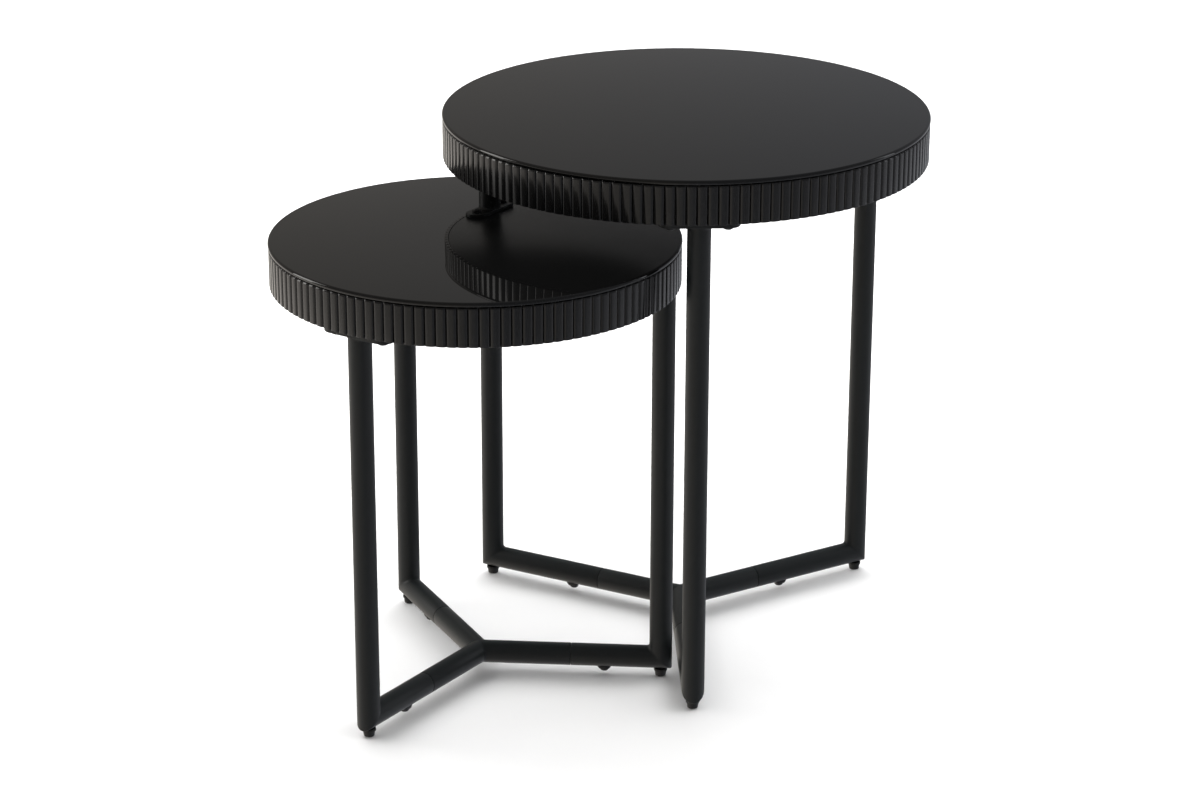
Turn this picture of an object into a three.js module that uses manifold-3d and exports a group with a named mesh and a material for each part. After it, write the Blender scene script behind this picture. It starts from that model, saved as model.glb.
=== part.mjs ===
// A pair of round nesting side tables, in millimetres, +Z up.
// Each table is a black glass disc on a board in a reeded rim, which three round tube legs carry.
// The legs turn inwards at the floor and are bolted to a Y-shaped hub.
// Origin: on the floor, under the middle of the pair's outline. +X runs along the pair's longer side.
import * as THREE from 'three';
import { mergeVertices } from 'three/addons/utils/BufferGeometryUtils.js';
import Module from 'manifold-3d';

const wasm = await Module();
wasm.setup();

// The two tables. firstLeg is the direction of leg 1 about the table's own axis, in degrees.
const TALL = { name: 'tall', diameter: 500, height: 564, firstLeg: 152 };
const SMALL = { name: 'small', diameter: 412, height: 474, firstLeg: 236 };

// Where the small table stands: its axis from the tall table's axis.
const NEST_DISTANCE = 255;
const NEST_DIRECTION = 214;

// Top: a glass disc as wide as the table, with a rounded edge, on the board and the reeded rim.
const GLASS_THICKNESS = 5;
const RIM_HEIGHT = 40;
const RIM_WALL = 4.2;
const REED_PITCH = 10.47;
const REED_DEPTH = 2;
const REED_SETBACK = 0.4;
const BOARD_RECESS = 0.2;

// Legs and foot rails: one size of round tube.
const TUBE_DIAMETER = 23.5;
const TUBE_WALL = 1.5;
const LEG_INSET = 17.5;
const LEGS = 3;

// Hub under the middle: its arms meet the foot rails end to end, and its spigots plug into them.
const HUB_REACH = 95;
const SPIGOT_LENGTH = 52;
const SPIGOT_WALL = 1.5;
const BOLT_REACH = 130;

// Plates that carry the board on the legs.
const PLATE_WIDTH = 24;
const PLATE_THICKNESS = 4.5;
const PLATE_SCREW_SPACING = 56;
const SCREW_HEAD_DIAMETER = 10.4;
const SCREW_HEAD_HEIGHT = 3.8;
const SCREW_BITE = 18;

// Rail bolts with their saddle washers, and levelling feet.
const THREAD_DIAMETER = 6;
const BOLT_HEAD_DIAMETER = 9.6;
const BOLT_HEAD_HEIGHT = 3.2;
const WASHER_LENGTH = 15;
const WASHER_FOOT_LENGTH = 11;
const WASHER_WIDTH = 13;
const WASHER_DROP = 1.9;
const WASHER_HUG = 1.6;
const FOOT_DIAMETER = 14;
const FOOT_HEIGHT = 8.4;
const FOOT_COLLAR = 2.8;
const STUD_TRAVEL = 6;

// Clearances.
const TOUCH = 0.3;
const THREAD_CLEARANCE = 0.35;
const SPIGOT_CLEARANCE = 0.3;

// How finely round shapes are faceted.
const DISC_SIDES = 72;
const TUBE_SIDES = 20;
const FOOT_SIDES = 12;
const FASTENER_SIDES = 8;
const POINTS_PER_REED = 4;
const EDGE_STEPS = 4;

const TUBE_RADIUS = TUBE_DIAMETER / 2;
const TUBE_BORE = TUBE_RADIUS - TUBE_WALL;
const THREAD_RADIUS = THREAD_DIAMETER / 2;
const HOLE_RADIUS = THREAD_RADIUS + THREAD_CLEARANCE;
const RAIL_UNDERSIDE = FOOT_HEIGHT + TOUCH;
const RAIL_AXIS = RAIL_UNDERSIDE + TUBE_RADIUS;

const radians = THREE.MathUtils.degToRad;

// Finishes.
const finish = (color, roughness, metalness = 0) => new THREE.MeshStandardMaterial({ color, roughness, metalness });
const BLACK_GLASS = finish('#111111', 0.05);
const BLACK_REEDED = finish('#2b2b2b', 0.45);
const BLACK_BOARD = finish('#1c1b1a', 0.8);
const BLACK_POWDER_COAT = finish('#2b2e2f', 0.5, 0.2);
const BLACK_STEEL = finish('#171717', 0.4, 0.7);
const BLACK_RUBBER = finish('#141414', 0.75);

// ---- solids -------------------------------------------------------------------------------------

// A closed three.js geometry as a solid that can be joined and cut.
function toSolid(geometry) {
  const bare = geometry.clone();
  bare.deleteAttribute('normal');
  bare.deleteAttribute('uv');
  const merged = mergeVertices(bare, 1e-4);
  const index = merged.index.array;
  const kept = [];
  for (let i = 0; i < index.length; i += 3) {
    const [a, b, c] = [index[i], index[i + 1], index[i + 2]];
    if (a !== b && b !== c && c !== a) kept.push(a, b, c);
  }
  const vertProperties = new Float32Array(merged.attributes.position.array);
  const triVerts = new Uint32Array(kept);
  return new wasm.Manifold(new wasm.Mesh({ numProp: 3, vertProperties, triVerts }));
}

// A solid back as a geometry.
function toGeometry(solid) {
  const mesh = solid.getMesh();
  const geometry = new THREE.BufferGeometry();
  geometry.setAttribute('position', new THREE.Float32BufferAttribute(mesh.vertProperties, 3));
  geometry.setIndex(Array.from(mesh.triVerts));
  return geometry;
}

function cut(geometry, ...tools) {
  return toGeometry(tools.reduce((solid, tool) => solid.subtract(toSolid(tool)), toSolid(geometry)));
}

function join(...geometries) {
  return toGeometry(geometries.map(toSolid).reduce((all, next) => all.add(next)));
}

// A turned solid about the Z axis, from [radius, height] points.
function turned(points, sides) {
  const profile = points.map(([radius, height]) => new THREE.Vector2(radius, height));
  return new THREE.LatheGeometry(profile, sides).rotateX(Math.PI / 2);
}

// A rod along +Z, from low to high.
function rod(radius, low, high, sides) {
  return turned([[0, low], [radius, low], [radius, high], [0, high]], sides);
}

// The same rod laid along +X at the height of the foot rails.
function railRod(radius, from, to) {
  return rod(radius, from, to, TUBE_SIDES).rotateY(Math.PI / 2).translate(0, 0, RAIL_AXIS);
}

// A hollow tube along +Z, open at both ends.
function tube(radius, bore, low, high) {
  return turned([[bore, low], [radius, low], [radius, high], [bore, high], [bore, low]], TUBE_SIDES);
}

// Cuts one end of a tube to the 45 degree mitre of the leg's corner, by moving that end's ring of points.
function mitre(geometry, isEnd, place) {
  const points = geometry.attributes.position;
  for (let i = 0; i < points.count; i += 1) {
    const point = new THREE.Vector3().fromBufferAttribute(points, i);
    if (isEnd(point)) points.setXYZ(i, ...place(point));
  }
  return geometry;
}

// ---- top ----------------------------------------------------------------------------------------

// The glass: its edge is ground to a full round, half its thickness in radius.
function glassTop(table) {
  const round = GLASS_THICKNESS / 2;
  const profile = [[0, glassUnderside(table)]];
  for (let i = 0; i <= EDGE_STEPS; i += 1) {
    const angle = Math.PI * (i / EDGE_STEPS - 0.5);
    profile.push([
      table.diameter / 2 - round + round * Math.cos(angle),
      table.height - round + round * Math.sin(angle),
    ]);
  }
  profile.push([0, table.height]);
  return turned(profile, DISC_SIDES);
}

function glassUnderside(table) {
  return table.height - GLASS_THICKNESS;
}

// The board under the glass, with a blind hole for each plate screw.
function topBoard(table) {
  const radius = table.diameter / 2 - RIM_WALL - TOUCH;
  const top = glassUnderside(table) - TOUCH;
  const bottom = boardUnderside(table);
  const holes = legAngles(table).flatMap((angle) => [-1, 1].map((side) => (
    rod(HOLE_RADIUS, bottom - 1, bottom + SCREW_BITE + 1, FASTENER_SIDES)
      .translate(legRadius(table), side * PLATE_SCREW_SPACING / 2, 0)
      .rotateZ(angle)
  )));
  return cut(rod(radius, bottom, top, DISC_SIDES), ...holes);
}

// The reeded rim: a wall of rounded upright reeds round the board.
function flutedRim(table) {
  const radius = table.diameter / 2;
  const reeds = Math.round(Math.PI * table.diameter / REED_PITCH);
  const outline = [];
  for (let i = 0; i < reeds; i += 1) {
    for (let k = 0; k < POINTS_PER_REED; k += 1) {
      const along = (1 - Math.cos(Math.PI * k / POINTS_PER_REED)) / 2;
      const swell = REED_DEPTH * Math.sin(Math.PI * k / POINTS_PER_REED);
      const angle = 2 * Math.PI * (i + along) / reeds;
      const distance = radius - REED_SETBACK - REED_DEPTH + swell;
      outline.push(new THREE.Vector2(distance * Math.cos(angle), distance * Math.sin(angle)));
    }
  }
  const wall = new THREE.Shape(outline);
  wall.holes.push(new THREE.Path().absarc(0, 0, radius - RIM_WALL, 0, 2 * Math.PI, true));
  const options = { depth: RIM_HEIGHT - TOUCH, bevelEnabled: false, curveSegments: DISC_SIDES / 2 };
  return new THREE.ExtrudeGeometry(wall, options).translate(0, 0, rimUnderside(table));
}

function rimUnderside(table) {
  return glassUnderside(table) - RIM_HEIGHT;
}

// ---- legs ---------------------------------------------------------------------------------------
// Each leg is drawn with the table's axis at the origin and the leg standing out along +X.

function legRadius(table) {
  return table.diameter / 2 - LEG_INSET;
}

function legAngles(table) {
  return Array.from({ length: LEGS }, (_, i) => radians(table.firstLeg + i * 360 / LEGS));
}

function boardUnderside(table) {
  return rimUnderside(table) + BOARD_RECESS;
}

function plateUnderside(table) {
  return boardUnderside(table) - TOUCH - PLATE_THICKNESS;
}

const MITRE_GAP = TOUCH / Math.SQRT2;

function legPost(table) {
  const top = plateUnderside(table) - TOUCH;
  const post = tube(TUBE_RADIUS, TUBE_BORE, RAIL_AXIS, top);
  mitre(post, (p) => p.z < RAIL_AXIS + 1, (p) => [p.x, p.y, RAIL_AXIS - p.x + MITRE_GAP]);
  return post.translate(legRadius(table), 0, 0);
}

function footRail(table) {
  const reach = legRadius(table);
  const rail = tube(TUBE_RADIUS, TUBE_BORE, HUB_REACH + TOUCH, reach)
    .rotateY(Math.PI / 2)
    .translate(0, 0, RAIL_AXIS);
  mitre(rail, (p) => p.x > reach - 1, (p) => [reach - (p.z - RAIL_AXIS) - MITRE_GAP, p.y, p.z]);
  const drill = (distance) => rod(HOLE_RADIUS, 0, RAIL_AXIS, FASTENER_SIDES).translate(distance, 0, 0);
  return cut(rail, drill(BOLT_REACH), drill(reach));
}

function mountingPlate(table) {
  const half = PLATE_SCREW_SPACING / 2;
  const end = PLATE_WIDTH / 2;
  const outline = new THREE.Shape();
  outline.absarc(0, half, end, 0, Math.PI, false);
  outline.absarc(0, -half, end, Math.PI, 2 * Math.PI, false);
  for (const side of [-1, 1]) {
    outline.holes.push(new THREE.Path().absarc(0, side * half, HOLE_RADIUS, 0, 2 * Math.PI, true));
  }
  const options = { depth: PLATE_THICKNESS, bevelEnabled: false, curveSegments: FASTENER_SIDES / 2 };
  return new THREE.ExtrudeGeometry(outline, options)
    .translate(legRadius(table), 0, plateUnderside(table));
}

// A pan-headed screw from below, through the plate into the board.
function plateScrew(table) {
  const seat = plateUnderside(table) - TOUCH;
  const radius = SCREW_HEAD_DIAMETER / 2;
  return turned([
    [0, seat - SCREW_HEAD_HEIGHT],
    [radius * 0.7, seat - SCREW_HEAD_HEIGHT * 0.85],
    [radius, seat - SCREW_HEAD_HEIGHT * 0.4],
    [radius, seat],
    [THREAD_RADIUS, seat],
    [THREAD_RADIUS, boardUnderside(table) + SCREW_BITE],
    [0, boardUnderside(table) + SCREW_BITE],
  ], FASTENER_SIDES);
}

// A domed bolt from below, through the saddle washer and the rail into the hub's spigot.
function railBolt() {
  const seat = RAIL_UNDERSIDE - WASHER_DROP - TOUCH;
  const radius = BOLT_HEAD_DIAMETER / 2;
  const tip = RAIL_AXIS - TUBE_RADIUS / 3;
  return turned([
    [0, seat - BOLT_HEAD_HEIGHT],
    [radius * 0.6, seat - BOLT_HEAD_HEIGHT * 0.82],
    [radius, seat - BOLT_HEAD_HEIGHT * 0.25],
    [radius, seat],
    [THREAD_RADIUS, seat],
    [THREAD_RADIUS, tip],
    [0, tip],
  ], FASTENER_SIDES).translate(BOLT_REACH, 0, 0);
}

// A saddle washer: flat for the bolt's head, hollowed to sit on the round rail.
function saddleWasher() {
  const low = RAIL_UNDERSIDE - WASHER_DROP;
  const high = RAIL_UNDERSIDE + WASHER_HUG;
  const side = new THREE.Shape();
  side.moveTo(-WASHER_FOOT_LENGTH / 2, low);
  side.lineTo(WASHER_FOOT_LENGTH / 2, low);
  side.lineTo(WASHER_LENGTH / 2, high);
  side.lineTo(-WASHER_LENGTH / 2, high);
  const block = new THREE.ExtrudeGeometry(side, { depth: WASHER_WIDTH, bevelEnabled: false })
    .translate(0, 0, -WASHER_WIDTH / 2)
    .rotateX(Math.PI / 2)
    .translate(BOLT_REACH, 0, 0);
  const seat = railRod(TUBE_RADIUS + TOUCH, BOLT_REACH - WASHER_LENGTH, BOLT_REACH + WASHER_LENGTH);
  const hole = rod(HOLE_RADIUS, 0, RAIL_AXIS, FASTENER_SIDES).translate(BOLT_REACH, 0, 0);
  return cut(block, seat, hole);
}

// A levelling foot: a moulded pad on a threaded stud that turns in the corner of the leg.
function levellingFoot(table) {
  const radius = FOOT_DIAMETER / 2;
  const studTop = RAIL_UNDERSIDE + TUBE_WALL + STUD_TRAVEL + 1;
  return turned([
    [0, 0],
    [radius - 2.2, 0],
    [radius - 1, 1.2],
    [radius - 0.7, FOOT_HEIGHT - FOOT_COLLAR],
    [radius, FOOT_HEIGHT - FOOT_COLLAR],
    [radius, FOOT_HEIGHT],
    [THREAD_RADIUS, FOOT_HEIGHT],
    [THREAD_RADIUS, studTop],
    [0, studTop],
  ], FOOT_SIDES).translate(legRadius(table), 0, 0);
}

// The hub: three tube arms meeting at 120 degrees, each ending in a thinner spigot.
function hub(table) {
  const spigotRadius = TUBE_BORE - SPIGOT_CLEARANCE;
  const spigotEnd = HUB_REACH + SPIGOT_LENGTH;
  const arms = [];
  const bores = [];
  for (const angle of legAngles(table)) {
    arms.push(railRod(TUBE_RADIUS, 0, HUB_REACH).rotateZ(angle));
    arms.push(railRod(spigotRadius, HUB_REACH - 1, spigotEnd).rotateZ(angle));
    bores.push(railRod(spigotRadius - SPIGOT_WALL, 0, spigotEnd + 1).rotateZ(angle));
    bores.push(rod(HOLE_RADIUS, 0, RAIL_AXIS, FASTENER_SIDES).translate(BOLT_REACH, 0, 0).rotateZ(angle));
  }
  return cut(join(...arms), ...bores);
}

// ---- assembly -----------------------------------------------------------------------------------

function piece(name, geometry, material, angle = 0) {
  const mesh = new THREE.Mesh(geometry, material);
  mesh.name = name;
  mesh.rotation.z = angle;
  return mesh;
}

function buildTable(table) {
  const group = new THREE.Group();
  const named = (part) => `${table.name}_${part}`;
  group.add(piece(named('glass_top'), glassTop(table), BLACK_GLASS));
  group.add(piece(named('fluted_rim'), flutedRim(table), BLACK_REEDED));
  group.add(piece(named('top_board'), topBoard(table), BLACK_BOARD));
  group.add(piece(named('hub'), hub(table), BLACK_POWDER_COAT));
  legAngles(table).forEach((angle, i) => {
    const numbered = (part) => named(`${part}_${i + 1}`);
    group.add(piece(numbered('leg_post'), legPost(table), BLACK_POWDER_COAT, angle));
    group.add(piece(numbered('foot_rail'), footRail(table), BLACK_POWDER_COAT, angle));
    group.add(piece(numbered('mounting_plate'), mountingPlate(table), BLACK_POWDER_COAT, angle));
    group.add(piece(numbered('rail_bolt'), railBolt(), BLACK_STEEL, angle));
    group.add(piece(numbered('saddle_washer'), saddleWasher(), BLACK_STEEL, angle));
    group.add(piece(numbered('levelling_foot'), levellingFoot(table), BLACK_RUBBER, angle));
    for (const [letter, side] of [['a', -1], ['b', 1]]) {
      const screw = plateScrew(table).translate(legRadius(table), side * PLATE_SCREW_SPACING / 2, 0);
      group.add(piece(`${numbered('plate_screw')}${letter}`, screw, BLACK_STEEL, angle));
    }
  });
  return group;
}

// The small table's axis from the tall one's, and the middle of the two tops' outline.
const nest = new THREE.Vector2(NEST_DISTANCE, 0).rotateAround(new THREE.Vector2(), radians(NEST_DIRECTION));
const outlineBox = new THREE.Box2();
for (const [table, centre] of [[TALL, new THREE.Vector2()], [SMALL, nest]]) {
  const reach = new THREE.Vector2(table.diameter / 2, table.diameter / 2);
  outlineBox.expandByPoint(centre.clone().sub(reach));
  outlineBox.expandByPoint(centre.clone().add(reach));
}
const middle = outlineBox.getCenter(new THREE.Vector2());

const tallTable = buildTable(TALL);
tallTable.position.set(-middle.x, -middle.y, 0);
const smallTable = buildTable(SMALL);
smallTable.position.set(nest.x - middle.x, nest.y - middle.y, 0);

const nestingTables = new THREE.Group();
nestingTables.add(tallTable, smallTable);

export default nestingTables;
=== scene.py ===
# %% [markdown]
# # A pair of round nesting tables
# Two side tables of one design stand close together, the small one partly under the tall one.
# Each has a black glass top on a reeded rim, three round tube legs, and a Y of tube near the floor.
# The CAD model already fixes every size and place. This script only gives the pieces their fine shape
# and finish, so it starts by loading that model as a frame, and reads all positions from it.

import math

import bmesh
import bpy
from mathutils import Matrix, Vector


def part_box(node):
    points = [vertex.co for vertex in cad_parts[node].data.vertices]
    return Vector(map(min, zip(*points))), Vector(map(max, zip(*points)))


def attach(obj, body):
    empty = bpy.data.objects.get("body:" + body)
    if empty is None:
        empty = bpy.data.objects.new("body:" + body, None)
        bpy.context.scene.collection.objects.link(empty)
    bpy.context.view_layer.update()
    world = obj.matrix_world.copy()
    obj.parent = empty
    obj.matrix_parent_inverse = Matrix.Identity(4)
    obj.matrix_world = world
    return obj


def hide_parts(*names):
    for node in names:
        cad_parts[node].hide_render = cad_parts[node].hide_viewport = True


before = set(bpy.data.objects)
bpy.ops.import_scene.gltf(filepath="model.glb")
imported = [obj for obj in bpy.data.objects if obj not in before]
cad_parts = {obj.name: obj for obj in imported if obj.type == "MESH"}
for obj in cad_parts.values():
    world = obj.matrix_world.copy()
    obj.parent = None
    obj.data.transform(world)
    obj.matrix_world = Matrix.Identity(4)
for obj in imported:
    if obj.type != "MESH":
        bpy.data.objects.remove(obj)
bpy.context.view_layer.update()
MM = 0.001
TABLES = ("tall", "small")
LEGS = (1, 2, 3)

# %% [markdown]
# ## Measuring the frame
# A lathe-turned or tube piece needs an axis, a radius and a few heights. All of them follow from the
# boxes of the CAD nodes: a disc's box gives its centre and radius, and a levelling foot's box gives where
# the leg stands. Reading them here means that the looks can never drift away from the design.

# %% Centres, radii and heights of each table
TUBE_RADIUS = 11.75 * MM


def middle(node):
    low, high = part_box(node)
    return (low + high) / 2


def measure_table(name):
    glass_low, glass_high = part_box(f"{name}_glass_top")
    rim_low, rim_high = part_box(f"{name}_fluted_rim")
    board_low, board_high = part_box(f"{name}_top_board")
    plate_low, plate_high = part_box(f"{name}_mounting_plate_1")
    rail_low, rail_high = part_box(f"{name}_foot_rail_1")
    washer_low, washer_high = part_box(f"{name}_saddle_washer_1")
    bolt_low, bolt_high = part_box(f"{name}_rail_bolt_1")
    screw_low, screw_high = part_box(f"{name}_plate_screw_1a")
    foot_low, foot_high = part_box(f"{name}_levelling_foot_1")
    axis = (glass_low + glass_high) / 2
    centre = Vector((axis.x, axis.y, 0))
    legs = []
    for number in LEGS:
        out = middle(f"{name}_levelling_foot_{number}") - centre
        bolt = middle(f"{name}_rail_bolt_{number}") - centre
        legs.append({
            "number": number,
            "turn": math.atan2(out.y, out.x),
            "reach": out.xy.length,
            "bolt_reach": bolt.xy.length,
        })
    return {
        "name": name,
        "body": f"{name}_table",
        "centre": centre,
        "legs": legs,
        "rim_bottom": rim_low.z,
        "rim_top": rim_high.z,
        "glass_radius": (glass_high.x - glass_low.x) / 2,
        "glass_bottom": glass_low.z,
        "glass_top": glass_high.z,
        "board_radius": (board_high.x - board_low.x) / 2,
        "board_bottom": board_low.z,
        "board_top": board_high.z,
        "plate_bottom": plate_low.z,
        "plate_top": plate_high.z,
        "rail_axis": rail_low.z + TUBE_RADIUS,
        "washer_bottom": washer_low.z,
        "washer_top": washer_high.z,
        "bolt_bottom": bolt_low.z,
        "bolt_top": bolt_high.z,
        "screw_bottom": screw_low.z,
        "screw_top": screw_high.z,
        "stud_top": foot_high.z,
    }


tables = [measure_table(name) for name in TABLES]
every_leg = [(t, leg) for t in tables for leg in t["legs"]]
for t in tables:
    reaches = [round(leg["reach"] / MM, 1) for leg in t["legs"]]
    print(t["name"], "glass radius", round(t["glass_radius"] / MM, 1), "mm, legs at", reaches, "mm")

# %% [markdown]
# ## Camera
# The camera looks slightly down on the pair from the front, through a long lens from a few metres away,
# so that upright lines stay almost parallel. It is placed from the tall table's axis.

# %% Camera
CAMERA_FROM_TALL = Vector((-0.0871, -3.3227, 1.5012))
CAMERA_TILT = 20.694
CAMERA_ROLL = 0.179
LENS = 100.78
SENSOR_WIDTH = 36.0

camera_data = bpy.data.cameras.new("camera")
camera_data.lens = LENS
camera_data.sensor_width = SENSOR_WIDTH
camera_data.clip_end = 100
camera = bpy.data.objects.new("camera", camera_data)
camera.location = tables[0]["centre"] + CAMERA_FROM_TALL
tilt = Matrix.Rotation(math.radians(90 - CAMERA_TILT), 3, "X")
roll = Matrix.Rotation(math.radians(CAMERA_ROLL), 3, "Z")
camera.rotation_euler = (tilt @ roll).to_euler()
bpy.context.scene.collection.objects.link(camera)
bpy.context.scene.camera = camera
print("camera at", [round(c, 3) for c in camera.location])

# %% [markdown]
# ## Materials
# Every finish is built from shader nodes: a Principled BSDF whose roughness and bump come from noise at
# the scale of the real surface. Noise is read in object coordinates, because all pieces are drawn in
# metres in one frame, so a grain of half a millimetre is the same on every piece.

# %% A helper that makes one finish
def make_finish(name, color, roughness, spread, grain, relief, metallic=0.0, ior=1.5, patches=7.0):
    """A Principled material. Its roughness drifts by +-spread in soft patches, and its surface has a
    fine grain: grain is the noise scale per metre and relief the height in metres."""
    material = bpy.data.materials.new(name)
    material.use_nodes = True
    nodes = material.node_tree.nodes
    links = material.node_tree.links
    shader = nodes["Principled BSDF"]
    shader.inputs["Base Color"].default_value = (*color, 1)
    shader.inputs["Metallic"].default_value = metallic
    shader.inputs["IOR"].default_value = ior
    place = nodes.new("ShaderNodeTexCoord")

    patch = nodes.new("ShaderNodeTexNoise")
    patch.inputs["Scale"].default_value = patches
    patch.inputs["Detail"].default_value = 4
    links.new(place.outputs["Object"], patch.inputs["Vector"])
    drift = nodes.new("ShaderNodeMapRange")
    drift.inputs["From Min"].default_value = 0.3
    drift.inputs["From Max"].default_value = 0.7
    drift.inputs["To Min"].default_value = roughness - spread
    drift.inputs["To Max"].default_value = roughness + spread
    links.new(patch.outputs["Fac"], drift.inputs["Value"])
    links.new(drift.outputs["Result"], shader.inputs["Roughness"])

    fine = nodes.new("ShaderNodeTexNoise")
    fine.inputs["Scale"].default_value = grain
    fine.inputs["Detail"].default_value = 2
    links.new(place.outputs["Object"], fine.inputs["Vector"])
    bump = nodes.new("ShaderNodeBump")
    bump.inputs["Strength"].default_value = 1
    bump.inputs["Distance"].default_value = relief
    links.new(fine.outputs["Fac"], bump.inputs["Height"])
    links.new(bump.outputs["Normal"], shader.inputs["Normal"])
    return material


# %% [markdown]
# The tops are black tempered glass: almost no colour of their own, a very smooth face, and a faint
# unevenness in the polish that only shows where something bright is mirrored.
# The rim is a moulded strip in satin black. Leg tubes carry a powder coat, whose skin has the slight
# orange peel that baked powder leaves. Screws and bolts are black-finished steel, feet are matt plastic,
# and the board's faces are a satin black laminate, smooth enough to mirror at a low angle.

# %% The finishes
BLACK_GLASS = make_finish("black_glass", (0.0025, 0.0025, 0.0025), 0.018, 0.008, 3.0, 0.000001, ior=1.5)
REEDED_BLACK = make_finish("reeded_rim", (0.0055, 0.0055, 0.0057), 0.17, 0.03, 1400.0, 0.000004, ior=1.54)
POWDER_COAT = make_finish("powder_coat", (0.0095, 0.0112, 0.0118), 0.4, 0.05, 900.0, 0.00002, ior=1.45)
BLACK_LAMINATE = make_finish("black_board", (0.006, 0.006, 0.0063), 0.3, 0.04, 1100.0, 0.000005)
BLACK_STEEL = make_finish("black_hardware", (0.03, 0.03, 0.031), 0.38, 0.06, 1500.0, 0.00001, metallic=0.7)
FOOT_PLASTIC = make_finish("foot_pad", (0.008, 0.008, 0.008), 0.55, 0.06, 1300.0, 0.00001)
print("finishes:", sorted(m.name for m in bpy.data.materials if m.name[0] != "_"))

# %% [markdown]
# ## Mesh helpers
# Most pieces here are turned on a lathe or swept from a circle, so they all come from one idea: a stack
# of rings, each with the same number of points, joined by quads. A ring of one point closes the end.
# Edges sharper than a set angle stay crisp, and everything else is shaded smooth.

# %% Rings into a mesh
def rings_to_mesh(name, rings, closed_loop=False):
    """Joins rings of points with quads, and the last ring to the first if the stack is a closed loop."""
    points = [tuple(p) for ring in rings for p in ring]
    starts = [0]
    for ring in rings:
        starts.append(starts[-1] + len(ring))
    pairs = [(i, i + 1) for i in range(len(rings) - 1)]
    if closed_loop:
        pairs.append((len(rings) - 1, 0))
    faces = []
    for low, high in pairs:
        a, b = starts[low], starts[high]
        low_count, high_count = len(rings[low]), len(rings[high])
        count = max(low_count, high_count)
        for i in range(count):
            j = (i + 1) % count
            if low_count == 1:
                faces.append((a, b + j, b + i))
            elif high_count == 1:
                faces.append((a + i, a + j, b))
            else:
                faces.append((a + i, a + j, b + j, b + i))
    data = bpy.data.meshes.new(name)
    data.from_pydata(points, [], faces)
    return outward(data)


def outward(data):
    solid = bmesh.new()
    solid.from_mesh(data)
    bmesh.ops.recalc_face_normals(solid, faces=solid.faces)
    solid.to_mesh(data)
    solid.free()
    return data


def ring_at(radius, height, steps, centre=(0, 0)):
    if radius == 0:
        return [(centre[0], centre[1], height)]
    turns = [2 * math.pi * i / steps for i in range(steps)]
    return [(centre[0] + radius * math.cos(a), centre[1] + radius * math.sin(a), height) for a in turns]


def turned(name, profile, steps, centre=(0, 0)):
    """A lathe-turned mesh about an upright axis through centre, from (radius, height) points."""
    return rings_to_mesh(name, [ring_at(r, z, steps, centre) for r, z in profile])


def rounded(corner, before, after, radius, steps=4):
    """The points of a small round that replaces a corner of a profile."""
    corner, before, after = Vector(corner), Vector(before), Vector(after)
    start = corner + (before - corner).normalized() * radius
    end = corner + (after - corner).normalized() * radius
    curve = []
    for i in range(steps + 1):
        s = i / steps
        curve.append(tuple(start * (1 - s) ** 2 + corner * 2 * s * (1 - s) + end * s ** 2))
    return curve


# %% [markdown]
# A piece that belongs to a leg is drawn once, with the table's axis at the origin and the leg standing
# out along +X, and is then turned and moved to its place. Each finished piece rides on its CAD body, and
# the CAD nodes that it stands for are hidden.

# %% Placing a piece
def add_piece(name, data, material, body, replaced, place=None, crisp=32):
    if place is not None:
        data.transform(place)
    data.materials.clear()
    data.materials.append(material)
    data.shade_smooth()
    data.set_sharp_from_angle(angle=math.radians(crisp))
    piece = bpy.data.objects.new(name, data)
    bpy.context.scene.collection.objects.link(piece)
    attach(piece, body)
    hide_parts(*replaced)
    return piece


def leg_place(t, leg):
    return Matrix.Translation(t["centre"]) @ Matrix.Rotation(leg["turn"], 4, "Z")


def numbered(t, leg, part):
    return f"{t['name']}_{part}_{leg['number']}"


# %% [markdown]
# ## Glass tops
# Each top is a disc of 5 mm tempered glass that lies on the rim and is as wide as the table. Its edge is
# ground and polished to a full round. That round mirrors the room from above to below in a few
# millimetres, which draws a dark line and a pale one round the top, so it gets many fine steps.

# %% Glass tops
DISC_STEPS = 360
EDGE_STEPS = 14


def glass_profile(t):
    low, high = t["glass_bottom"], t["glass_top"]
    half = (high - low) / 2
    edge = []
    for i in range(EDGE_STEPS + 1):
        a = math.pi * (i / EDGE_STEPS - 0.5)
        edge.append((t["glass_radius"] - half + half * math.cos(a), low + half + half * math.sin(a)))
    return [(0, low), *edge, (0, high)]


for t in tables:
    name = f"{t['name']}_glass"
    data = turned(name, glass_profile(t), DISC_STEPS, t["centre"].xy)
    add_piece(name, data, BLACK_GLASS, t["body"], [f"{t['name']}_glass_top"])
    print(name, len(data.vertices), "points")

# %% [markdown]
# ## Boards
# Under the glass lies the board that the rim wraps and the legs are screwed to. Its underside shows from
# below and is mirrored in the small table's glass. It has a small round along its lower edge.

# %% Boards
BOARD_ROUND = 1.0 * MM

for t in tables:
    name = f"{t['name']}_board"
    r, low, high = t["board_radius"], t["board_bottom"], t["board_top"]
    profile = [(0, low), *rounded((r, low), (0, low), (r, high), BOARD_ROUND), (r, high), (0, high)]
    data = turned(name, profile, DISC_STEPS, t["centre"].xy)
    add_piece(name, data, BLACK_LAMINATE, t["body"], [f"{t['name']}_top_board"])
    print(name, "underside at", round(low / MM, 1), "mm")

# %% [markdown]
# ## Reeded rims
# The rim is one moulded strip of upright reeds. Each has a faintly crowned face that rounds over
# into a flank on either side, with a narrow valley between, and ends under the glass in a small dome.
# One way is to model one reed and repeat it with an array, but then each joint between copies needs
# welding. It is simpler to compute the whole strip as one grid: going round the rim, the outline rises
# and falls with the reeds, and going up, the swell of each reed fades out in its dome.

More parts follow.
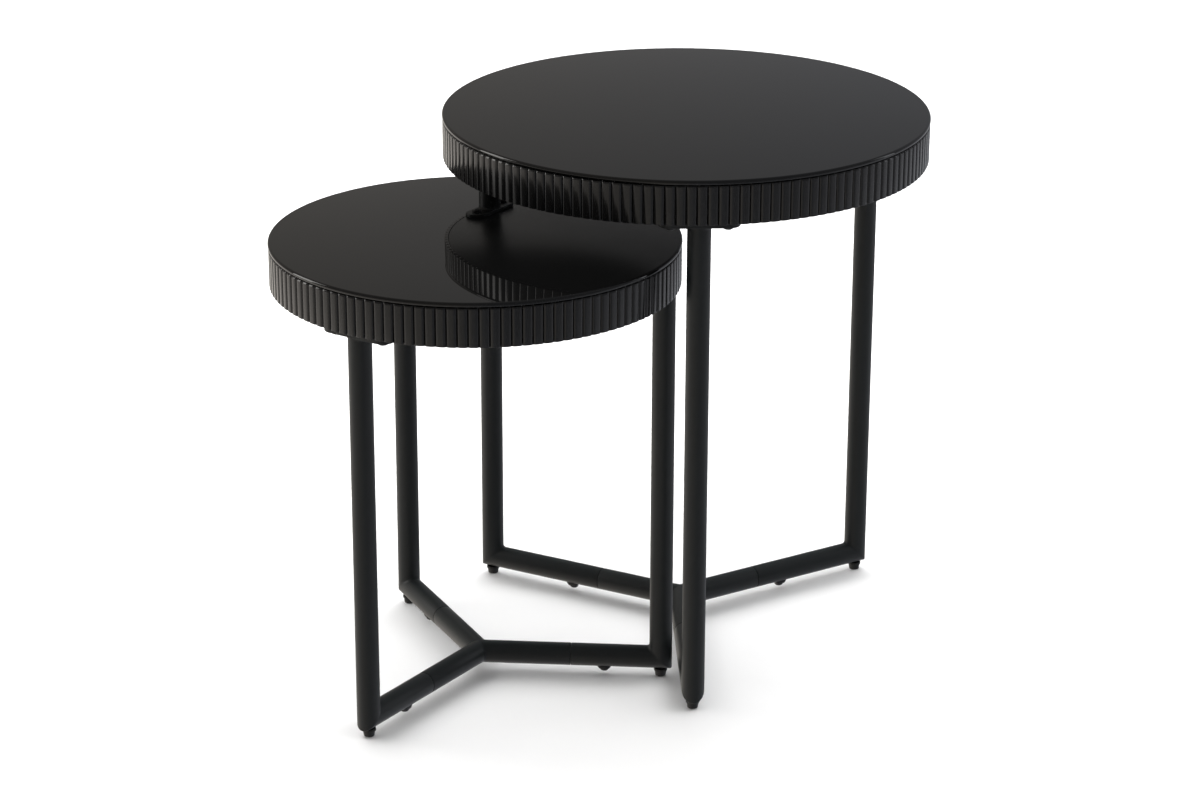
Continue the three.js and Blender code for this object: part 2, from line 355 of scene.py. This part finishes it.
# %% Shape of one reed
REED_PITCH = 10.47 * MM
REED_DEPTH = 2.0 * MM
REED_SETBACK = 0.4 * MM
REED_FACE = 0.42
REED_TURN = 70
REED_CROWN = 0.1
DOME_LENGTH = 2.2 * MM
EDGE_ROUND = 0.4 * MM
RIM_WALL = 4.2 * MM
STEPS_PER_REED = 16
DOME_SHARES = (1.0, 0.8, 0.6, 0.42, 0.27, 0.15, 0.07, 0.02, 0.0)
BELOW_DOME = 2


def reed_swell(across, below_top):
    """How far a reed stands out, from 0 to 1. across runs from -1 to 1 over the reed, and below_top is
    the distance under the reed's upper end as a share of the dome's length."""
    steepest = math.sin(math.radians(REED_TURN))
    into_round = max(0.0, abs(across) - REED_FACE) / (1 - REED_FACE) * steepest
    fall = (1 - math.sqrt(1 - into_round ** 2)) / (1 - math.cos(math.radians(REED_TURN)))
    side = (1 - REED_CROWN) * (1 - fall) + REED_CROWN * (1 - across ** 2)
    end = max(0.0, 1 - below_top)
    return side * math.sqrt(1 - end ** 2)


# %% The strip as a stack of rings
def reeded_ring(t, reeds, height, below_top, inset=0.0):
    valley = t["glass_radius"] - REED_SETBACK - REED_DEPTH
    ring = []
    for reed in range(reeds):
        for step in range(STEPS_PER_REED):
            across = -math.cos(math.pi * step / STEPS_PER_REED)
            radius = valley + REED_DEPTH * reed_swell(across, below_top) - inset
            angle = 2 * math.pi * (reed + (across + 1) / 2) / reeds
            ring.append((
                t["centre"].x + radius * math.cos(angle),
                t["centre"].y + radius * math.sin(angle),
                height,
            ))
    return ring


def rim_rings(t, reeds):
    low, top = t["rim_bottom"], t["rim_top"]
    wall = t["glass_radius"] - RIM_WALL
    lower_edge = ((0, 1), (0.3, 0.3), (1, 0))
    rows = [(low + up * EDGE_ROUND, BELOW_DOME, inset * EDGE_ROUND) for up, inset in lower_edge]
    rows += [(top - share * DOME_LENGTH, share, 0) for share in DOME_SHARES]
    rings = [reeded_ring(t, reeds, *row) for row in rows]
    rings += [ring_at(wall, z, reeds * STEPS_PER_REED, t["centre"].xy) for z in (top, low)]
    return rings


for t in tables:
    name = f"{t['name']}_reeded_rim"
    reeds = round(2 * math.pi * t["glass_radius"] / REED_PITCH)
    data = rings_to_mesh(name, rim_rings(t, reeds), closed_loop=True)
    add_piece(name, data, REEDED_BLACK, t["body"], [f"{t['name']}_fluted_rim"], crisp=50)
    print(name, reeds, "reeds,", len(data.vertices), "points")

# %% [markdown]
# ## Legs
# A leg is one welded piece: an upright post and a foot rail of 23.5 mm tube, cut at 45 degrees and welded at
# the corner, with the coat running over the weld. Sweeping a circle along the L gives exactly the mitred
# corner: each point of the circle runs down, turns in a tiny curve and runs on inwards. The curve is
# tight on the outside, where the weld is ground flush, and wider in the crotch, where the weld stays.
# The top of the post flares into the weld under its plate, and the rail is open at its inner end, where
# the hub's spigot goes in.

# %% Shape of a leg
TUBE_STEPS = 64
TUBE_WALL = 1.5 * MM
CORNER_STEPS = 6
CORNER_OUTSIDE = 1.4 * MM
CORNER_CROTCH = 4.2 * MM
CROTCH_FADE = 3
WELD_FLARE = 2.8 * MM
WELD_HEIGHT = 3.4 * MM
WELD_SHARES = (0.0, 0.12, 0.3, 0.5, 0.75, 1.0)
WELD_ACROSS = 0.08
HUB_REACH = 95.0 * MM
SEAM = 0.4 * MM
SEAM_ROUND = 0.6 * MM
SOCKET_DEPTH = 56.0 * MM


def around_tube():
    for i in range(TUBE_STEPS):
        a = 2 * math.pi * i / TUBE_STEPS
        yield math.cos(a), math.sin(a)


def post_ring(leg, height, flare):
    """A ring of the post. The weld flares along the plate, and hardly at all across it."""
    ring = []
    for out, side in around_tube():
        radius = TUBE_RADIUS + flare * (WELD_ACROSS + (1 - WELD_ACROSS) * side * side)
        ring.append((leg["reach"] + radius * out, radius * side, height))
    return ring


def corner_ring(t, leg, share):
    """A ring part of the way round the corner: share is 0 where the post ends and 1 where the rail starts."""
    ring = []
    for out, side in around_tube():
        bend = CORNER_OUTSIDE + (CORNER_CROTCH - CORNER_OUTSIDE) * ((1 - out) / 2) ** CROTCH_FADE
        corner_out = leg["reach"] + TUBE_RADIUS * out
        corner_up = t["rail_axis"] - TUBE_RADIUS * out
        ring.append((
            corner_out - bend * share ** 2,
            TUBE_RADIUS * side,
            corner_up + bend * (1 - share) ** 2,
        ))
    return ring


def rail_ring(t, distance, radius):
    return [(distance, radius * side, t["rail_axis"] - radius * out) for out, side in around_tube()]


def leg_rings(t, leg):
    top = t["plate_bottom"]
    rings = [[(leg["reach"], 0, top)]]
    for share in WELD_SHARES:
        rings.append(post_ring(leg, top - share * WELD_HEIGHT, WELD_FLARE * (1 - share) ** 2))
    rings += [corner_ring(t, leg, step / CORNER_STEPS) for step in range(CORNER_STEPS + 1)]
    end = HUB_REACH + SEAM
    bore = TUBE_RADIUS - TUBE_WALL
    for distance, radius in rounded((end, TUBE_RADIUS), (end + 1, TUBE_RADIUS), (end, bore), SEAM_ROUND):
        rings.append(rail_ring(t, distance, radius))
    rings.append(rail_ring(t, end, bore))
    rings.append(rail_ring(t, end + SOCKET_DEPTH, bore))
    rings.append([(end + SOCKET_DEPTH, 0, t["rail_axis"])])
    return rings


for t, leg in every_leg:
    name = numbered(t, leg, "leg")
    data = rings_to_mesh(name, leg_rings(t, leg))
    replaced = [numbered(t, leg, "leg_post"), numbered(t, leg, "foot_rail")]
    add_piece(name, data, POWDER_COAT, t["body"], replaced, leg_place(t, leg))
print("post heights", [round((t["plate_bottom"] - t["rail_axis"]) / MM, 1) for t in tables], "mm")

# %% [markdown]
# ## Hub
# The hub is a Y of the same tube. Three arms meet at 120 degrees, each cut along the plane half way to
# its neighbour, so an arm's ring at the middle follows those two planes: the further a point is to the
# side, the further out it starts. A small bend on the way to the plane stands for the weld's fillet.
# Each arm ends in a thinner spigot that slides into a foot rail.

# %% Hub arms and spigots
HUB_FILLET = 2.6 * MM
SPIGOT_RADIUS = 9.95 * MM
SPIGOT_LENGTH = 52.0 * MM
CROTCH_SLOPE = 1 / math.sqrt(3)
FILLET_SHARES = (0.0, 0.1, 0.25, 0.45, 0.7, 1.0)
FILLET_SWELL = 0.28 * HUB_FILLET


def hub_arm_rings(t):
    rings = [[(0, 0, t["rail_axis"])]]
    for share in FILLET_SHARES:
        swell = FILLET_SWELL * (1 - share) ** 2
        ring = []
        for out, side in around_tube():
            start = TUBE_RADIUS * abs(side) * CROTCH_SLOPE
            across = (TUBE_RADIUS + swell) * side
            ring.append((
                max(start, abs(across) * CROTCH_SLOPE) + share * HUB_FILLET,
                across,
                t["rail_axis"] - TUBE_RADIUS * out,
            ))
        rings.append(ring)
    for distance, radius in rounded((HUB_REACH, TUBE_RADIUS), (0, TUBE_RADIUS), (HUB_REACH, 0), SEAM_ROUND):
        rings.append(rail_ring(t, distance, radius))
    rings.append(rail_ring(t, HUB_REACH, SPIGOT_RADIUS))
    rings.append(rail_ring(t, HUB_REACH + SPIGOT_LENGTH, SPIGOT_RADIUS))
    rings.append([(HUB_REACH + SPIGOT_LENGTH, 0, t["rail_axis"])])
    return rings


def hub_mesh(name, t):
    solid = bmesh.new()
    for leg in t["legs"]:
        arm = rings_to_mesh(f"{name}_arm", hub_arm_rings(t))
        arm.transform(leg_place(t, leg))
        solid.from_mesh(arm)
        bpy.data.meshes.remove(arm)
    data = bpy.data.meshes.new(name)
    solid.to_mesh(data)
    solid.free()
    return data


for t in tables:
    name = f"{t['name']}_hub_tubes"
    data = hub_mesh(name, t)
    add_piece(name, data, POWDER_COAT, t["body"], [f"{t['name']}_hub"], crisp=60)
    print(name, len(data.vertices), "points")

# %% [markdown]
# ## Mounting plates
# Each leg is welded to a plate with round ends that is screwed to the board. It is cut from 4.5 mm steel
# and coated with the leg, so its edges are slightly rounded by the coat. The plate is the outline of two
# half circles, stacked at a few heights, and drawn in at the top and bottom for the round.

# %% Mounting plates
PLATE_HALF_SPACING = 28.0 * MM
PLATE_END = 12.0 * MM
PLATE_EDGE = 0.6 * MM
PLATE_STEPS = 24


def stadium(reach, end_radius, height):
    """A level outline of two half circles and the straight sides between them."""
    ring = []
    for side, first in ((1, 0.0), (-1, math.pi)):
        for i in range(PLATE_STEPS + 1):
            a = first + math.pi * i / PLATE_STEPS
            ring.append((
                reach + end_radius * math.cos(a),
                side * PLATE_HALF_SPACING + end_radius * math.sin(a),
                height,
            ))
    return ring


def plate_rings(t, leg):
    low, high = t["plate_bottom"], t["plate_top"]
    rings = [[(leg["reach"], 0, low)]]
    for inset, z in rounded((0, low), (PLATE_END, low), (0, high), PLATE_EDGE):
        rings.append(stadium(leg["reach"], PLATE_END - inset, z))
    for inset, z in rounded((0, high), (0, low), (PLATE_END, high), PLATE_EDGE):
        rings.append(stadium(leg["reach"], PLATE_END - inset, z))
    rings.append([(leg["reach"], 0, high)])
    return rings


for t, leg in every_leg:
    name = numbered(t, leg, "leg_plate")
    data = rings_to_mesh(name, plate_rings(t, leg))
    replaced = [numbered(t, leg, "mounting_plate")]
    add_piece(name, data, POWDER_COAT, t["body"], replaced, leg_place(t, leg))
print("plates:", round(2 * (PLATE_HALF_SPACING + PLATE_END) / MM), "mm long")

# %% [markdown]
# ## Screws, bolts and washers
# Pan-headed cross-recess screws hold the plates, and a domed bolt with a hex socket holds each foot rail
# to the hub's spigot from below. A recess is a hole in a dome, so a plain lathe shape won't do. It could be
# cut with a boolean, but here the head is built as rings whose inner ones take the recess's outline: a
# cross or a hexagon, pressed in to a flat bottom.

# %% Outlines of the recesses
FASTENER_STEPS = 48
CROSS_REACH = 2.6 * MM
CROSS_HALF_WIDTH = 0.75 * MM
HEX_HALF = 1.5 * MM
HEX_SECTOR = math.radians(60)


def cross_radius(angle):
    """The edge of a cross with four arms, at an angle."""
    c, s = abs(math.cos(angle)), abs(math.sin(angle))
    long_side, short_side = max(c, s), min(c, s)
    along = CROSS_REACH / long_side
    return along if along * short_side <= CROSS_HALF_WIDTH else CROSS_HALF_WIDTH / short_side


def hex_radius(angle):
    """The edge of a hexagon, at an angle."""
    return HEX_HALF / math.cos((angle % HEX_SECTOR) - HEX_SECTOR / 2)


def shaped_ring(radius_at, height, centre, scale=1.0, steps=FASTENER_STEPS):
    """A level ring whose radius follows the angle."""
    ring = []
    for i in range(steps):
        a = 2 * math.pi * i / steps
        r = scale * radius_at(a)
        ring.append((centre[0] + r * math.cos(a), centre[1] + r * math.sin(a), height))
    return ring


# %% Plate screws
THREAD_RADIUS = 3.0 * MM
SCREW_HEAD_RADIUS = 5.2 * MM
SCREW_HEAD_HEIGHT = 3.8 * MM
RECESS_DEPTH = 2.0 * MM
RECESS_TAPER = 0.7
RECESS_RIM = 0.1 * MM


def fastener_rings(heights, head_radius, dome, recess, centre):
    """A fastener from below: the recess, the domed head up to its seat, and the shank to its tip.
    dome lists shares of the head's radius and of its height."""
    head_low, seat, tip = heights
    rings = [
        [(centre[0], centre[1], head_low + RECESS_DEPTH)],
        shaped_ring(recess, head_low + RECESS_DEPTH, centre, RECESS_TAPER),
        shaped_ring(recess, head_low + RECESS_RIM, centre),
    ]
    height = seat - head_low
    for radius_share, height_share in dome:
        z = head_low + height * height_share
        rings.append(ring_at(head_radius * radius_share, z, FASTENER_STEPS, centre))
    rings.append(ring_at(THREAD_RADIUS, seat, FASTENER_STEPS, centre))
    rings.append(ring_at(THREAD_RADIUS, tip, FASTENER_STEPS, centre))
    rings.append([(centre[0], centre[1], tip)])
    return rings


PAN_DOME = (
    (0.62, 0.015), (0.74, 0.05), (0.84, 0.13), (0.92, 0.26),
    (0.97, 0.42), (1.0, 0.62), (1.0, 0.93), (0.97, 1.0),
)
BUTTON_DOME = (
    (0.42, 0.0), (0.56, 0.05), (0.7, 0.14), (0.82, 0.27), (0.91, 0.42),
    (0.97, 0.6), (1.0, 0.8), (1.0, 0.95), (0.96, 1.0),
)

for t, leg in every_leg:
    for letter, side in (("a", -1), ("b", 1)):
        name = numbered(t, leg, "screw") + letter
        centre = (leg["reach"], side * PLATE_HALF_SPACING)
        heights = (t["screw_bottom"], t["screw_bottom"] + SCREW_HEAD_HEIGHT, t["screw_top"])
        rings = fastener_rings(heights, SCREW_HEAD_RADIUS, PAN_DOME, cross_radius, centre)
        data = rings_to_mesh(name, rings)
        replaced = [numbered(t, leg, "plate_screw") + letter]
        add_piece(name, data, BLACK_STEEL, t["body"], replaced, leg_place(t, leg))
print("screw heads reach down to", [round(t["screw_bottom"] / MM, 1) for t in tables], "mm")

# %% Rail bolts
BOLT_HEAD_RADIUS = 4.8 * MM
BOLT_HEAD_HEIGHT = 3.2 * MM

for t, leg in every_leg:
    name = numbered(t, leg, "bolt")
    heights = (t["bolt_bottom"], t["bolt_bottom"] + BOLT_HEAD_HEIGHT, t["bolt_top"])
    rings = fastener_rings(heights, BOLT_HEAD_RADIUS, BUTTON_DOME, hex_radius, (leg["bolt_reach"], 0))
    data = rings_to_mesh(name, rings)
    replaced = [numbered(t, leg, "rail_bolt")]
    add_piece(name, data, BLACK_STEEL, t["body"], replaced, leg_place(t, leg))
print("bolt heads reach down to", [round(t["bolt_bottom"] / MM, 1) for t in tables], "mm")

# %% [markdown]
# The saddle washer between bolt and rail is flat below and hollowed on top to the tube's round. Its
# outline is a rounded oblong that narrows towards the bolt, and the top of each side point lies on the
# tube, so its height follows from the circle.

# %% Saddle washers
WASHER_HALF_TOP = 7.5 * MM
WASHER_HALF_FOOT = 5.5 * MM
WASHER_HALF_WIDTH = 6.5 * MM
WASHER_NARROWING = 0.5 * MM
WASHER_CORNER = 4.5
WASHER_EDGE = 0.4 * MM
WASHER_SIDE_SHARES = (0.35, 0.7, 0.93)
WASHER_SEAT_INSETS = (0.25 * MM, 0.6 * MM, 3 * MM)
SEAT_GAP = 0.02 * MM


def oblong(reach, half_length, half_width, height_at):
    """A rounded oblong, a superellipse, whose height follows the distance to the side."""
    ring = []
    for i in range(FASTENER_STEPS):
        a = 2 * math.pi * i / FASTENER_STEPS
        c, s = math.cos(a), math.sin(a)
        size = (abs(c) ** WASHER_CORNER + abs(s) ** WASHER_CORNER) ** (-1 / WASHER_CORNER)
        x, y = half_length * size * c, half_width * size * s
        ring.append((reach + x, y, height_at(y)))
    return ring


def washer_rings(t, leg):
    low = t["washer_bottom"]
    reach, tube = leg["bolt_reach"], TUBE_RADIUS + SEAT_GAP

    def on_tube(y):
        return min(t["rail_axis"] - math.sqrt(tube ** 2 - y ** 2), t["washer_top"])

    rings = [[(reach, 0, low)]]
    narrow = WASHER_HALF_WIDTH - WASHER_NARROWING
    for inset, z in rounded((0, low), (WASHER_HALF_FOOT, low), (0, low + 1), WASHER_EDGE):
        rings.append(oblong(reach, WASHER_HALF_FOOT - inset, narrow - inset, lambda y, z=z: z))
    for share in WASHER_SIDE_SHARES:
        half_length = WASHER_HALF_FOOT + (WASHER_HALF_TOP - WASHER_HALF_FOOT) * share
        half_width = narrow + WASHER_NARROWING * share
        rings.append(oblong(reach, half_length, half_width, lambda y, s=share: low + s * (on_tube(y) - low)))
    for inset in WASHER_SEAT_INSETS:
        rings.append(oblong(reach, WASHER_HALF_TOP - inset, WASHER_HALF_WIDTH - inset, on_tube))
    rings.append([(reach, 0, on_tube(0))])
    return rings


for t, leg in every_leg:
    name = numbered(t, leg, "washer")
    data = rings_to_mesh(name, washer_rings(t, leg))
    replaced = [numbered(t, leg, "saddle_washer")]
    add_piece(name, data, BLACK_STEEL, t["body"], replaced, leg_place(t, leg), crisp=45)
print("washers under the rails at", [round(leg["bolt_reach"] / MM) for leg in tables[0]["legs"]], "mm")

# %% [markdown]
# ## Levelling feet
# Under each leg a moulded pad on a threaded stud evens out the floor. The pad has a wide collar to turn it
# by and a narrower foot. Its stud is a real thread: as the pad is turned down, six millimetres of it show.
# Its rings are all level. In each, the radius follows a saw-tooth round the axis, and from ring to ring
# the tooth moves on by its share of the pitch, so the crest climbs in a helix.

# %% Foot pads with threaded studs
PAD_RADIUS = 7.0 * MM
PAD_HEIGHT = 8.4 * MM
COLLAR_HEIGHT = 2.8 * MM
PAD_STEPS = 60
SOLE_RADIUS = PAD_RADIUS - 1.6 * MM
SOLE_ROUND = 0.8 * MM
WAIST_RADIUS = PAD_RADIUS - 1.0 * MM
COLLAR_LOWER_ROUND = 0.35 * MM
COLLAR_UPPER_ROUND = 0.45 * MM
COLLAR_INSIDE = PAD_RADIUS - 0.9 * MM
THREAD_PITCH = 1.0 * MM
THREAD_DEPTH = 0.5 * MM
THREAD_ROWS = 8
GRIPS = 12
GRIP_DEPTH = 0.35 * MM
GRIP_SHARPNESS = 3


def collar_ring(reach, radius, height):
    """A ring of the collar, with its shallow finger grips."""
    def radius_at(angle):
        return radius - GRIP_DEPTH * (0.5 - 0.5 * math.cos(GRIPS * angle)) ** GRIP_SHARPNESS
    return shaped_ring(radius_at, height, (reach, 0), steps=PAD_STEPS)


def thread_radius(height):
    """The stud's radius at a height, by angle: a saw-tooth that climbs one pitch in one turn."""
    def at(angle):
        return THREAD_RADIUS - THREAD_DEPTH * abs(2 * ((height / THREAD_PITCH - angle / math.tau) % 1) - 1)
    return at


def foot_rings(t, leg):
    reach = leg["reach"]
    collar = PAD_HEIGHT - COLLAR_HEIGHT
    rings = [[(reach, 0, 0)]]
    foot = [
        *rounded((SOLE_RADIUS, 0), (0, 0), (WAIST_RADIUS, collar), SOLE_ROUND),
        (COLLAR_INSIDE, collar),
    ]
    rings += [ring_at(r, z, PAD_STEPS, (reach, 0)) for r, z in foot]
    for inset, z in rounded((0, collar), (1, collar), (0, PAD_HEIGHT), COLLAR_LOWER_ROUND, 3):
        rings.append(collar_ring(reach, PAD_RADIUS - inset, z))
    for inset, z in rounded((0, PAD_HEIGHT), (0, collar), (1, PAD_HEIGHT), COLLAR_UPPER_ROUND, 3):
        rings.append(collar_ring(reach, PAD_RADIUS - inset, z))
    rows = round((t["stud_top"] - PAD_HEIGHT) / THREAD_PITCH * THREAD_ROWS)
    for row in range(rows + 1):
        z = PAD_HEIGHT + row * (t["stud_top"] - PAD_HEIGHT) / rows
        rings.append(shaped_ring(thread_radius(z), z, (reach, 0), steps=PAD_STEPS))
    rings.append([(reach, 0, t["stud_top"])])
    return rings


for t, leg in every_leg:
    name = numbered(t, leg, "foot")
    body = numbered(t, leg, "levelling_foot")
    data = rings_to_mesh(name, foot_rings(t, leg))
    add_piece(name, data, FOOT_PLASTIC, body, [body], leg_place(t, leg))
print("feet:", len(every_leg), "pads of", round(2 * PAD_RADIUS / MM), "mm")

# %% [markdown]
# ## Floor and light
# A plain pale floor runs far out, lit from above by one very large soft panel, so that it is close to
# white and the shadows stay faint. The panel is a light only: it isn't mirrored, because glass and tubes
# here mirror a dim grey room. What they do mirror is that room, a tall pale wall of light on the left and
# a narrower one on the right, which draw the long highlights on tubes and reeds. The floor isn't mirrored
# either: the lower half of the room stands in for it, pale on the left and behind, dim in front.

# %% Floor
FLOOR_HALF = 20.0
FLOOR_DROP = 0.2 * MM
FLOOR_COLOR = (0.84, 0.84, 0.84)

floor_data = bpy.data.meshes.new("floor")
corners = [(x * FLOOR_HALF, y * FLOOR_HALF, 0) for x, y in ((-1, -1), (1, -1), (1, 1), (-1, 1))]
floor_data.from_pydata(corners, [], [(0, 1, 2, 3)])
floor = bpy.data.objects.new("floor", floor_data)
floor.location.z = -FLOOR_DROP
bpy.context.scene.collection.objects.link(floor)
FLOOR_PAINT = make_finish("floor_paint", FLOOR_COLOR, 0.6, 0.03, 200.0, 0.00002, ior=1.3, patches=1.5)
floor_data.materials.append(FLOOR_PAINT)
floor.visible_glossy = False

# %% Room
# Radiances: the room's walls, its ceiling, and its lower half in front and behind. FRONT and LOW_RIGHT
# are shares that dim the wall behind the camera and the right of the lower half.
ROOM = 0.205
CEILING = 0.17
FRONT = 0.8
LOW_FRONT = 0.42
LOW_BACK = 0.9
LOW_RIGHT = 0.5

world = bpy.data.worlds.new("studio")
bpy.context.scene.world = world
world.use_nodes = True
nodes, links = world.node_tree.nodes, world.node_tree.links
background = nodes["Background"]
direction = nodes.new("ShaderNodeTexCoord")
split = nodes.new("ShaderNodeSeparateXYZ")
links.new(direction.outputs["Generated"], split.inputs["Vector"])
side, depth, height = (split.outputs[axis] for axis in "XYZ")


def ramp(source, from_min, from_max, to_min, to_max):
    """Maps a value smoothly from one range to another. Each end of the new range may be a socket."""
    node = nodes.new("ShaderNodeMapRange")
    node.interpolation_type = "SMOOTHSTEP"
    links.new(source, node.inputs["Value"])
    node.inputs["From Min"].default_value = from_min
    node.inputs["From Max"].default_value = from_max
    for socket, value in (("To Min", to_min), ("To Max", to_max)):
        if isinstance(value, float):
            node.inputs[socket].default_value = value
        else:
            links.new(value, node.inputs[socket])
    return node.outputs["Result"]


def multiply(a, b):
    node = nodes.new("ShaderNodeMath")
    node.operation = "MULTIPLY"
    links.new(a, node.inputs[0])
    links.new(b, node.inputs[1])
    return node.outputs["Value"]


upper = multiply(ramp(height, 0.5, 0.8, ROOM, CEILING), ramp(depth, -0.6, 0.2, FRONT, 1.0))
lower = multiply(ramp(depth, -0.95, 0.3, LOW_FRONT, LOW_BACK), ramp(side, -0.4, 0.4, 1.0, LOW_RIGHT))
links.new(ramp(height, -0.12, 0.02, lower, upper), background.inputs["Strength"])

warmth = nodes.new("ShaderNodeMix")
warmth.data_type = "RGBA"
warmth.inputs["A"].default_value = (1.06, 1.0, 0.92, 1)
warmth.inputs["B"].default_value = (0.98, 1.0, 1.07, 1)
links.new(ramp(side, -0.2, 0.2, 0.0, 1.0), warmth.inputs["Factor"])
links.new(warmth.outputs["Result"], background.inputs["Color"])


# %% Panels of light
def panel(name, location, aim, size, watts, color, mirrored=True):
    data = bpy.data.lights.new(name, "AREA")
    data.shape = "RECTANGLE"
    data.size, data.size_y = size
    data.energy = watts
    data.color = color
    light = bpy.data.objects.new(name, data)
    light.location = location
    light.rotation_euler = (Vector(aim) - Vector(location)).to_track_quat("-Z", "Y").to_euler()
    light.visible_camera = False
    light.visible_glossy = mirrored
    bpy.context.scene.collection.objects.link(light)


AIM = (0, 0, 0.3)
panel("overhead", (0, 1.2, 1.4), (0, 1.2, 0), (3.4, 3.8), 142, (1, 1, 1), mirrored=False)
panel("left_wall", (-2.6, 0.4, 1.1), AIM, (0.8, 1.8), 17, (1.0, 0.98, 0.95))
panel("right_wall", (2.8, 0.6, 1.1), AIM, (0.4, 1.8), 3, (0.94, 0.97, 1.0))
bpy.context.scene.view_settings.view_transform = "Standard"
